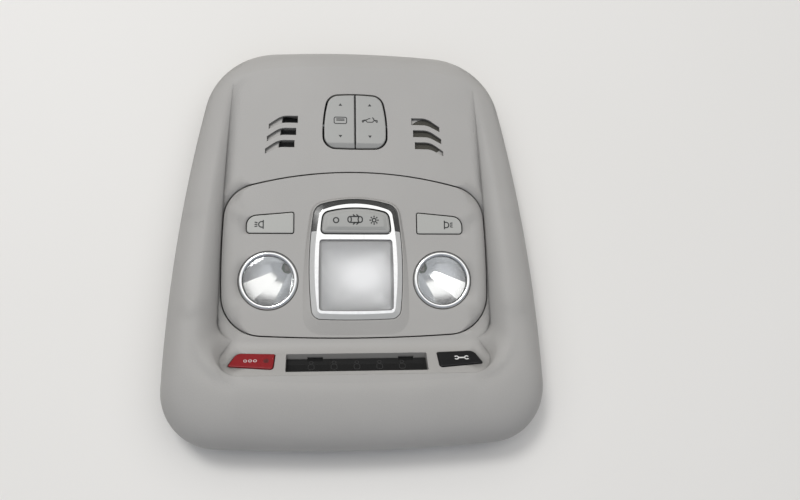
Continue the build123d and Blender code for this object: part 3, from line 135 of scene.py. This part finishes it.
def grained_plastic(name, dark, light, grain, depth, roughness, specular=0.5, edge=None):
    """Moulded plastic whose tool was spark-eroded: a matt, even grain with faint tone drift."""
    material, tree = new_material(name)
    place = add_node(tree, "ShaderNodeTexCoord", {}).outputs["Object"]
    drift = add_node(tree, "ShaderNodeTexNoise",
                     {"Scale": per_millimetre(TONE_DRIFT), "Detail": 2.0, "Roughness": 0.5},
                     {"Vector": place})
    speckle = add_node(tree, "ShaderNodeTexNoise",
                       {"Scale": per_millimetre(grain), "Detail": 3.0, "Roughness": 0.6}, {"Vector": place})
    tone = add_node(tree, "ShaderNodeMix", {"data_type": "FLOAT", 0: SPECKLE_SHARE},
                    {2: drift.outputs["Fac"], 3: speckle.outputs["Fac"]})
    colour = add_node(tree, "ShaderNodeMix", {"data_type": "RGBA", 6: linear(dark), 7: linear(light)},
                      {0: tone.outputs[0]})
    pits = add_node(tree, "ShaderNodeTexVoronoi",
                    {"feature": "SMOOTH_F1", "Scale": per_millimetre(grain), "Smoothness": 0.6},
                    {"Vector": place})
    tint = colour.outputs[2]
    relief = {"Height": pits.outputs["Distance"]}
    if edge:
        # Painted shade in the seams, and rounded edges
        tint, relief["Normal"] = seam_shade_and_rounding(tree, place, tint, *edge)
    bump = add_node(tree, "ShaderNodeBump", {"Strength": 1.0, "Distance": depth * MM}, relief)
    shine = add_node(tree, "ShaderNodeMapRange",
                     {**NOISE_SPAN, "To Min": roughness - PLASTIC_STRAY, "To Max": roughness + PLASTIC_STRAY},
                     {"Value": speckle.outputs["Fac"]})
    shader = add_node(tree, "ShaderNodeBsdfPrincipled",
                      {"IOR": 1.53, "Specular IOR Level": specular},
                      {"Base Color": tint, "Roughness": shine.outputs[0], "Normal": bump.outputs["Normal"]})
    close_material(tree, shader)
    return material


def plated_metal(name, dark, light, roughness, wave, rounding=0.1, metallic=1.0, painted_wall_shade=None):
    """Metal skin: mirror-like, with the slow waviness of the moulding or sheet under it."""
    material, tree = new_material(name)
    place = add_node(tree, "ShaderNodeTexCoord", {}).outputs["Object"]
    haze = add_node(tree, "ShaderNodeTexNoise", {"Scale": per_millimetre(wave), "Detail": 3.0},
                    {"Vector": place})
    colour = add_node(tree, "ShaderNodeMix", {"data_type": "RGBA", 6: linear(dark), 7: linear(light)},
                      {0: haze.outputs["Fac"]})
    shine = add_node(tree, "ShaderNodeMapRange",
                     {**NOISE_SPAN, "To Min": roughness * (1 - METAL_STRAY),
                      "To Max": roughness * (1 + METAL_STRAY)},
                     {"Value": haze.outputs["Fac"]})
    soft = add_node(tree, "ShaderNodeBevel", {"samples": 8, "Radius": rounding * MM})
    bump = add_node(tree, "ShaderNodeBump", {"Strength": 0.15, "Distance": 0.02 * MM},
                    {"Height": haze.outputs["Fac"], "Normal": soft.outputs["Normal"]})
    tint = colour.outputs[2]
    if painted_wall_shade:
        # Painted shade: the walls far from the spot get a greyer colour than the bright middle of the bowl
        wall_shade_colour, centre, reach = painted_wall_shade
        unshaded_middle = add_node(tree, "ShaderNodeMapRange", {"From Max": 0.6, "interpolation_type": "SMOOTHSTEP"},
                         {"Value": soft_spot(tree, place, centre, reach)})
        tint = add_node(tree, "ShaderNodeMix", {"data_type": "RGBA", 6: linear(wall_shade_colour)},
                        {0: unshaded_middle.outputs[0], 7: tint}).outputs[2]
    shader = add_node(tree, "ShaderNodeBsdfPrincipled", {"Metallic": metallic},
                      {"Base Color": tint, "Roughness": shine.outputs[0], "Normal": bump.outputs["Normal"]})
    close_material(tree, shader)
    return material


def clear_plastic(name, tint, roughness, transmission, ior=1.58, milky_and_highlight_spot=None, coat=0.0):
    """Clear or frosted plastic: smooth skin with a faint flow line, light scatters by its roughness."""
    material, tree = new_material(name)
    place = add_node(tree, "ShaderNodeTexCoord", {}).outputs["Object"]
    flow = add_node(tree, "ShaderNodeTexNoise", {"Scale": per_millimetre(FLOW_LINE), "Detail": 1.0},
                    {"Vector": place})
    bump = add_node(tree, "ShaderNodeBump", {"Strength": 0.1, "Distance": 0.05 * MM},
                    {"Height": flow.outputs["Fac"]})
    shader = add_node(tree, "ShaderNodeBsdfPrincipled",
                      {"Base Color": linear(tint), "IOR": ior, "Transmission Weight": transmission,
                       "Roughness": roughness, "Coat Weight": coat, "Coat Roughness": 0.12},
                      {"Normal": bump.outputs["Normal"]})
    if milky_and_highlight_spot:
        # The middle of the lens is milky and hides the light source; the milky patch is also placed and sized
        # to paint a bright highlight there
        milk = add_node(tree, "ShaderNodeMapRange",
                        {"From Max": 0.8, "To Min": transmission, "To Max": MILKY_HIGHLIGHT_TRANSMISSION,
                         "interpolation_type": "SMOOTHSTEP"},
                        {"Value": soft_spot(tree, place, *milky_and_highlight_spot)})
        tree.links.new(milk.outputs[0], shader.inputs["Transmission Weight"])
    close_material(tree, shader)
    return material


# ABS, moulded in a spark-eroded tool: light warm grey, matt.
# The real grain of 0.3 mm is drawn at 0.8 mm to show.
shell_abs = grained_plastic("shell_abs_spark_eroded", "#9E9C99", "#ABA9A6", 0.8, 0.035, 0.55,
                            edge=(0.4, 10.0))
# ABS, moulded and satin polished: a like grey on the keys, a little smoother, and darker on the switches.
key_abs = grained_plastic("key_abs_satin", "#A4A4A0", "#AEAEAA", 0.6, 0.012, 0.42, edge=(0.8, 0.8))
switch_abs = grained_plastic("switch_abs_satin", "#9A9A97", "#A4A4A1", 0.6, 0.012, 0.45, edge=(1.0, 1.0))
# ABS, chrome plated: bright, with a clean mirror edge.
chrome = plated_metal("chrome_plated_abs", "#D9DADB", "#EEEFEF", 0.09, 3.0)
# Polycarbonate, vacuum metallised: silver, slightly soft and milky, cups of the reading lamps.
metallised = plated_metal("metallised_polycarbonate", "#EEF0F0", "#F7F8F8", 0.2, 2.0, metallic=0.9)
# Polycarbonate, polished: clear lamp lens.
clear_lens = clear_plastic("clear_polycarbonate_polished", "#FFFFFF", 0.03, 1.0)
# Polycarbonate, frosted on its inside, glossy outside: pearl white lens of the centre lamp, whose milky
# middle also paints a bright highlight.
frosted_lens = clear_plastic("frosted_polycarbonate", "#FFFFFF", 0.36, 0.85,
                             milky_and_highlight_spot=((4, -24, 30), (24, 18, 200)), coat=1.0)
# Polycarbonate, vacuum metallised over a matt tool: silver without sharp images, bowl of the centre lamp, its
# far walls greyed by painted shade.
satin_metallised = plated_metal("metallised_polycarbonate_satin", "#F2F3F3", "#FAFBFB", 0.36, 2.0, 8.0,
                                painted_wall_shade=("#828485", (5, -23, 18), (40, 24, 200)))
# Polycarbonate, milky: pale rim under the chrome frame.
milky_rim = clear_plastic("milky_polycarbonate", "#E4E4E2", 0.35, 0.3)
# Acrylic, smoked: almost black window of the display.
smoked = clear_plastic("smoked_acrylic", "#2A2A2A", 0.12, 0.3, 1.49)
# Acrylic, smoked red: small unlit lamp in the red key.
smoked_red = clear_plastic("smoked_red_acrylic", "#6A3030", 0.3, 0.2, 1.49)
# ABS, satin: red and black keys.
red_key = grained_plastic("red_abs_satin", "#7C1518", "#8E2026", 0.6, 0.012, 0.42, specular=0.35)
black_key = grained_plastic("black_abs_satin", "#131314", "#1B1B1C", 0.6, 0.012, 0.42, specular=0.3)
# Polyamide, moulded: black carriers, tacts and cases behind the face.
black_polyamide = grained_plastic("black_polyamide_moulded", "#141414", "#1E1E1E", 0.7, 0.02, 0.5)
# Polypropylene, moulded: dark grey rear housing.
dark_polypropylene = grained_plastic("dark_polypropylene_moulded", "#4A4B4C", "#57585A", 0.9, 0.03, 0.5)
# Polycarbonate, moulded: white light box.
white_polycarbonate = grained_plastic("white_polycarbonate_moulded", "#DCDCD8", "#E8E8E5", 0.7, 0.01, 0.4)
# Polyurethane foam: dark grey open cells of about 0.6 mm.
foam = grained_plastic("polyurethane_foam", "#35342F", "#5A5852", 0.9, 0.3, 0.9, specular=0.2)
# Glass-fibre board with solder mask: satin green.
board_mask = grained_plastic("fibreglass_board_solder_mask", "#123F26", "#1D5434", 1.5, 0.01, 0.35)
# Silicone resin over the chip: dull grey with a yellow cast, unlit light source.
phosphor = grained_plastic("phosphor_resin_unlit", "#5C5D5A", "#6C6D69", 0.4, 0.01, 0.35)
# Silicone resin, white: light source of the centre lamp, hardly seen through its lens.
white_resin = grained_plastic("white_silicone_resin", "#E2E1DA", "#ECEBE6", 0.4, 0.01, 0.35)
# Steel, zinc plated: screws, pins and spring clips.
zinc_steel = plated_metal("zinc_plated_steel", "#9A9C9E", "#B4B6B8", 0.3, 1.2)
# Brass, tinned: contact pins.
tinned_brass = plated_metal("tinned_brass", "#B9A978", "#CFC199", 0.25, 1.0)

finishes = {
    "console_plastic": shell_abs,
    "chrome_trim": chrome,
    "frosted_lens": frosted_lens,
    "clear_lens": clear_lens,
    "reflector": metallised,
    "light_source": phosphor,
    "board_green": board_mask,
    "inner_black": black_polyamide,
    "housing_grey": dark_polypropylene,
    "red_button": red_key,
    "black_button": black_key,
    "smoked_window": smoked,
    "light_box_white": white_polycarbonate,
    "foam": foam,
    "steel": zinc_steel,
    "contact_metal": tinned_brass,
}
own_finish = {"left_reading_button": key_abs, "right_reading_button": key_abs, "mode_switch": switch_abs,
              "sunshade_rocker": switch_abs, "sunroof_rocker": switch_abs, "lens_rim": milky_rim,
              "centre_reflector": satin_metallised, "centre_led": white_resin,
              "emergency_status_lens": smoked_red}
for part in frame["record"]["subparts"]:
    name = part["node"]
    finish = own_finish.get(name, finishes[part["material_slot"]])
    nodes[name].data.materials.clear()
    nodes[name].data.materials.append(finish)


# Printed signs, thin films of ink that ride with their keys, and the raised face of the mode switch

INK_THICK = 0.03
# Rear edge of the sloping shelf in millimetres, and its tilt in degrees
SHELF_Y, SHELF_Z, SHELF_TILT = -68.2, 24.0, 40.0
# Height of the keys' faces over the shelf, and depth of the display's print under it
KEY_PROUD, DISPLAY_DEPTH = 0.7, 5.0
SAME_POINT = 1e-6
SHARPEST_MITRE = 0.5


def circle(x, y, radius, start=0, end=360, steps=28):
    angles = [radians(start + (end - start) * i / steps) for i in range(steps + 1)]
    return [(x + radius * cos(a), y + radius * sin(a)) for a in angles]


def rounded_box(width, height, radius, x=0, y=0):
    corners = ((1, 1, 0), (-1, 1, 90), (-1, -1, 180), (1, -1, 270))
    points = []
    for side_x, side_y, start in corners:
        centre = (x + side_x * (width / 2 - radius), y + side_y * (height / 2 - radius))
        points += circle(*centre, radius, start, start + 90, 6)
    return points


def stroke(points, width, closed=False):
    """Quads of a line of that width with mitred bends."""
    if closed and (Vector(points[0]) - Vector(points[-1])).length < SAME_POINT:
        points = points[:-1]
    count = len(points)
    sides = []
    for i, point in enumerate(points):
        before = Vector(points[i - 1]) if closed or i > 0 else None
        after = Vector(points[(i + 1) % count]) if closed or i < count - 1 else None
        here = Vector(point)
        arms = [(here - before).normalized()] if before else []
        arms += [(after - here).normalized()] if after else []
        along = sum(arms, Vector((0, 0))).normalized()
        across = Vector((-along.y, along.x))
        reach = width / 2 / max(SHARPEST_MITRE, across.dot(Vector((-arms[0].y, arms[0].x))))
        sides.append((here + across * reach, here - across * reach))
    pairs = range(count if closed else count - 1)
    return [[sides[i][0], sides[i][1], sides[(i + 1) % count][1], sides[(i + 1) % count][0]] for i in pairs]


def lines(paths, width):
    return [quad for points, closed in paths for quad in stroke(points, width, closed)]


def moved(polygons, x, y):
    return [[(px + x, py + y) for px, py in polygon] for polygon in polygons]


def add_piece(name, shape, body, finish):
    bmesh.ops.recalc_face_normals(shape, faces=shape.faces)
    mesh = bpy.data.meshes.new(name)
    shape.to_mesh(mesh)
    shape.free()
    mesh.materials.append(finish)
    piece = bpy.data.objects.new(name, mesh)
    scene.collection.objects.link(piece)
    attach(piece, body)


def film(name, polygons, place, body, ink):
    """Prisms of ink over flat polygons given in millimetres on the plane of the place."""
    sheet = bmesh.new()
    for polygon in polygons:
        low, high = [[sheet.verts.new(place @ (Vector((px, py, z)) * MM)) for px, py in polygon]
                     for z in (-INK_THICK, INK_THICK)]
        sheet.faces.new(high)
        for i in range(len(polygon)):
            k = (i + 1) % len(polygon)
            sheet.faces.new((low[i], low[k], high[k], high[i]))
    add_piece(name, sheet, body, ink)


def inset(loop, border):
    """The loop shrunk about its middle, so that its sides move inwards by that border."""
    xs, ys = [x for x, _ in loop], [y for _, y in loop]
    mid_x, mid_y = (min(xs) + max(xs)) / 2, (min(ys) + max(ys)) / 2
    shrink_x = 1 - 2 * border / (max(xs) - min(xs))
    shrink_y = 1 - 2 * border / (max(ys) - min(ys))
    return [(mid_x + (x - mid_x) * shrink_x, mid_y + (y - mid_y) * shrink_y) for x, y in loop]


def raised_pad(name, loops, body, finish):
    """Pad whose sides run from loop to loop, each loop with its own height, all in millimetres."""
    pad = bmesh.new()
    rows = [[pad.verts.new((x * MM, y * MM, z * MM)) for x, y in loop] for loop, z in loops]
    for low, high in zip(rows, rows[1:]):
        for i in range(len(low)):
            k = (i + 1) % len(low)
            pad.faces.new((low[i], low[k], high[k], high[i]))
    pad.faces.new(rows[-1])
    add_piece(name, pad, body, finish)


def flat_place(x, y, z):
    return Matrix.Translation((x * MM, y * MM, z * MM))


def shelf_place(x, down, proud):
    """Point on the sloping shelf, that far down from its rear edge."""
    turn = Matrix.Rotation(radians(-SHELF_TILT), 4, "X")
    return Matrix.Translation((0, SHELF_Y * MM, SHELF_Z * MM)) @ turn @ flat_place(x, -down, proud)


def top_of(node):
    return max(corner.co.z for corner in nodes[node].data.vertices) / MM


# Screen ink, printed: dark grey on grey keys, white on the red and black keys, dim on the dark window.
dark_ink = grained_plastic("dark_screen_ink", "#2A2B2B", "#323333", 0.5, 0.002, 0.5, specular=0.3)
white_ink = grained_plastic("white_screen_ink", "#D8D8D6", "#E2E2E0", 0.5, 0.002, 0.45)
dim_ink = grained_plastic("dim_display_ink", "#292929", "#2F2F2F", 0.5, 0.002, 0.4)


# Mode switch: a raised face with sloping sides, and signs for off, on with the doors, on
MODE_LINE, SUN_RAYS = 0.8, 8
PAD_RISE, PAD_SLOPE, PAD_EDGE = 0.8, 2.2, 0.3
SAME_LEVEL = 0.01
switch_top = top_of("mode_switch")
mode_z = switch_top + PAD_RISE
switch_corners = [corner.co / MM for corner in nodes["mode_switch"].data.vertices]
face = [corner.xy for corner in switch_corners if corner.z > switch_top - SAME_LEVEL]
outline = [tuple(face[i]) for i in convex_hull_2d(face)]
foot, rim = inset(outline, PAD_EDGE), inset(outline, PAD_EDGE + PAD_SLOPE)
raised_pad("mode_switch_pad", [(foot, switch_top - INK_THICK), (foot, switch_top), (rim, mode_z)],
           "mode_switch", switch_abs)

off_sign = lines([(circle(0, 0, 1.65), True)], MODE_LINE)
car_from_above = [(rounded_box(9.2, 3.9, 1.6), True), (circle(-5.4, 0, 3.0, -32, 32, 8), False),
                  (circle(4.9, 0, 3.0, 148, 212, 8), False)]
doors = [([(x, side * 1.9), (x - 1.5, side * 3.3)], False) for x in (0.1, 2.3) for side in (1, -1)]
door_sign = lines(car_from_above + doors, MODE_LINE)
ray_angles = [radians(360 / SUN_RAYS * i) for i in range(SUN_RAYS)]
rays = [([(r * cos(a), r * sin(a)) for r in (1.9, 2.95)], False) for a in ray_angles]
sun_sign = lines([(circle(0, 0, 1.2), True)] + rays, MODE_LINE)
mode_signs = (("mode_off_sign", off_sign, -12.7, 11.7),
              ("mode_door_sign", door_sign, -0.6, 12.2),
              ("mode_on_sign", sun_sign, 11.5, 11.8))
for name, sign, x, y in mode_signs:
    film(name, sign, flat_place(x, y, mode_z), "mode_switch", dark_ink)

# Reading buttons: a lamp in profile with three rays, turned outwards on either side
LAMP_LINE = 0.72
lamp_face = [(1.8, -2.9), (1.8, 2.9)]
lamp_bowl = [(1.8, -1.8), (0.4, -1.8), (-0.6, -1.3), (-1.0, -0.5),
             (-1.0, 0.5), (-0.6, 1.3), (0.4, 1.8), (1.8, 1.8)]
lamp_rays = [[(-3.6, y * 1.3), (-1.8, y)] for y in (-1.1, 0, 1.1)]
read_sign = lines([(path, False) for path in (lamp_face, lamp_bowl, *lamp_rays)], LAMP_LINE)
for side, turned, x, y in (("left", 1, -60.5, 9.8), ("right", -1, 59.5, 10.0)):
    sign = [[(turned * px, py) for px, py in polygon] for polygon in read_sign]
    button = side + "_reading_button"
    film(side + "_reading_sign", sign, flat_place(x, y, top_of(button)), button, dark_ink)

# Roof switches: arrows, a roller blind and a car with its roof open
ROOF_LINE = 0.6
ROCKER_MID_Y, ARROW_Y, SIGN_X = 80.2, 10.9, 9.7
rocker_z = top_of("sunshade_rocker")
arrow = [(-1.2, -0.75), (1.2, -0.75), (0, 1.0)]
down_arrow = [(x, -y) for x, y in arrow]
slats = [([(-2.7, y), (2.7, y)], False) for y in (0.05, 1.0)]
blind = lines([(rounded_box(8.2, 4.4, 1.0), True)] + slats, ROOF_LINE)
bonnet = [(-5.0, -0.9), (-4.9, 0.1), (-3.6, 0.55), (-2.2, 0.7), (-0.6, 1.55), (0.4, 1.6)]
open_roof = [(1.5, 2.3), (2.9, 1.5)]
boot = [(2.2, 1.1), (3.4, 0.5), (4.9, 0.3), (5.0, -0.9)]
sills = [[(x, -0.9), (end, -0.9)] for x, end in ((-5.0, -4.2), (-1.9, 2.0), (4.3, 5.0))]
arches = [circle(x, -0.9, 1.1, 0, 180, 12) for x in (-3.05, 3.15)]
car = lines([(path, False) for path in (bonnet, open_roof, boot, *sills, *arches)], ROOF_LINE)
for body, side, sign in (("sunshade_rocker", -1, blind), ("sunroof_rocker", 1, car)):
    shapes = moved([arrow], 0, ARROW_Y) + moved([down_arrow], 0, -ARROW_Y) + sign
    film(body + "_sign", shapes, flat_place(side * SIGN_X, ROCKER_MID_Y, rocker_z), body, dark_ink)

# Red key: a row of three rings. Black key: a plain spanner.
# Each is placed by its X and by how far down the shelf it is.
RING_PLACE, SPANNER_PLACE = (-64.4, 11.0), (64.7, 10.6)
RING_STEP, RING_LINE, JAW_LINE = 2.9, 0.32, 0.75
rings = [circle(x, 0, 0.9) for x in (-RING_STEP, 0, RING_STEP)]
ring_row = lines([(ring, True) for ring in rings], RING_LINE)
film("emergency_sign", ring_row, shelf_place(*RING_PLACE, KEY_PROUD), "emergency_button", white_ink)
handle = [(-2.2, -0.5), (2.2, -0.5), (2.2, 0.5), (-2.2, 0.5)]
jaws = [circle(-3.2, 0, 1.25, 215, 505), circle(3.2, 0, 1.25, 35, 325)]
spanner = [handle] + lines([(jaw, False) for jaw in jaws], JAW_LINE)
film("assist_sign", spanner, shelf_place(*SPANNER_PLACE, KEY_PROUD), "assist_button", white_ink)

# Warning display: dim marks of five seats behind the smoked window
SEATS, SEAT_STEP, SEAT_DOWN, SEAT_LINE = 5, 14, 10.6, 0.5
seat = lines([(circle(0, 2.6, 1.1), True), (rounded_box(3.6, 4.0, 1.3, 0, -1.0), True)], SEAT_LINE)
for i in range(SEATS):
    x = SEAT_STEP * (i - (SEATS - 1) / 2)
    film("display_sign_%d" % (i + 1), seat, shelf_place(x, SEAT_DOWN, -DISPLAY_DEPTH), "console", dim_ink)


# Floor, light and camera

FLOOR_HALF, FLOOR_DROP = 3.0, 0.1 * MM
FLOOR_CLOUD = 400
# Laminate, satin: pale warm white table with faint clouds.
floor_material, tree = new_material("pale_table_laminate")
place = add_node(tree, "ShaderNodeTexCoord", {}).outputs["Object"]
cloud = add_node(tree, "ShaderNodeTexNoise", {"Scale": per_millimetre(FLOOR_CLOUD), "Detail": 2.0},
                 {"Vector": place})
pale = add_node(tree, "ShaderNodeMix",
                {"data_type": "RGBA", 6: linear("#E3E1DD"), 7: linear("#E9E7E4")}, {0: cloud.outputs["Fac"]})
close_material(tree, add_node(tree, "ShaderNodeBsdfPrincipled", {"Roughness": 0.6, "Specular IOR Level": 0.2},
                              {"Base Color": pale.outputs[2]}))
floor_mesh = bpy.data.meshes.new("floor")
floor_sides = ((-1, -1), (1, -1), (1, 1), (-1, 1))
floor_corners = [(x * FLOOR_HALF, y * FLOOR_HALF, -FLOOR_DROP) for x, y in floor_sides]
floor_mesh.from_pydata(floor_corners, [], [(0, 1, 2, 3)])
floor_mesh.materials.append(floor_material)
floor = bpy.data.objects.new("floor", floor_mesh)
scene.collection.objects.link(floor)

# The room: a bright ceiling over and behind the table, a dim room in front and a dark horizon at the rear
ROOM_FRONT, ROOM_REAR, CEILING = 0.38, 0.08, 1.3
CEILING_DIP = 0.12
COOL, WARM = (0.95, 1.0, 1.1, 1.0), (1.0, 0.99, 0.97, 1.0)
world = bpy.data.worlds.new("soft_room")
scene.world = world
world.use_nodes = True
tree = world.node_tree
tree.nodes.clear()
direction = add_node(tree, "ShaderNodeTexCoord", {}).outputs["Generated"]
axes = add_node(tree, "ShaderNodeSeparateXYZ", {}, {"Vector": direction})
# Height of the direction, so counted that the ceiling reaches lower down at the rear
height = add_node(tree, "ShaderNodeMath", {"operation": "MULTIPLY_ADD", 1: CEILING_DIP},
                  {0: axes.outputs["Y"], 2: axes.outputs["Z"]})
# Each step follows a direction from one value to another, and its strength goes from the first to the second
soft_steps = ((axes.outputs["Y"], -0.5, 0.1, ROOM_FRONT, ROOM_REAR),
              (axes.outputs["Y"], -0.4, 0.3, 0.0, 1.0),
              (height.outputs[0], 0.53, 0.65, 0.0, CEILING))
room, rear, high = [add_node(tree, "ShaderNodeMapRange",
                             {"From Min": start, "From Max": end, "To Min": low, "To Max": top,
                              "interpolation_type": "SMOOTHSTEP"}, {"Value": value}).outputs[0]
                    for value, start, end, low, top in soft_steps]
ceiling = add_node(tree, "ShaderNodeMath", {"operation": "MULTIPLY_ADD"}, {0: rear, 1: high, 2: room})
# Daylight from the front is cool beside the warm ceiling
tone = add_node(tree, "ShaderNodeMix", {"data_type": "RGBA", 6: COOL, 7: WARM}, {0: rear})
sky = add_node(tree, "ShaderNodeBackground", {}, {"Color": tone.outputs[2], "Strength": ceiling.outputs[0]})
add_node(tree, "ShaderNodeOutputWorld", {}, {"Surface": sky.outputs[0]})

# Key light from the rear left: a soft box aimed at the middle of the table
KEY_PLACE, KEY_SIZE, KEY_POWER = Vector((-0.5, 0.8, 1.5)), (0.5, 0.4), 10.6
key = bpy.data.lights.new("key_soft_box", "AREA")
key.shape = "RECTANGLE"
key.size, key.size_y = KEY_SIZE
key.energy = KEY_POWER
key_object = bpy.data.objects.new("key_soft_box", key)
scene.collection.objects.link(key_object)
key_object.location = KEY_PLACE
key_object.rotation_euler = (-KEY_PLACE).to_track_quat("-Z", "Y").to_euler()

# The photograph's camera, turned by degrees about each axis
FOCAL_PX, PICTURE_PX, SENSOR = 720, 800, 36.0
VIEW_PLACE = (-0.0201, -0.0945, 0.4762)
VIEW_TURNS = (("Z", -0.09), ("Y", 6.0), ("X", -11.0))
view = bpy.data.cameras.new("photo_view")
view.sensor_width = SENSOR
view.sensor_fit = "HORIZONTAL"
view.lens = SENSOR * FOCAL_PX / PICTURE_PX
view.clip_start = 0.01
view_object = bpy.data.objects.new("photo_view", view)
scene.collection.objects.link(view_object)
turn = Matrix.Identity(3)
for axis, angle in VIEW_TURNS:
    turn = turn @ Matrix.Rotation(radians(angle), 3, axis)
view_object.matrix_world = Matrix.Translation(VIEW_PLACE) @ turn.transposed().to_4x4()
scene.camera = view_object
scene.view_settings.view_transform = "Standard"
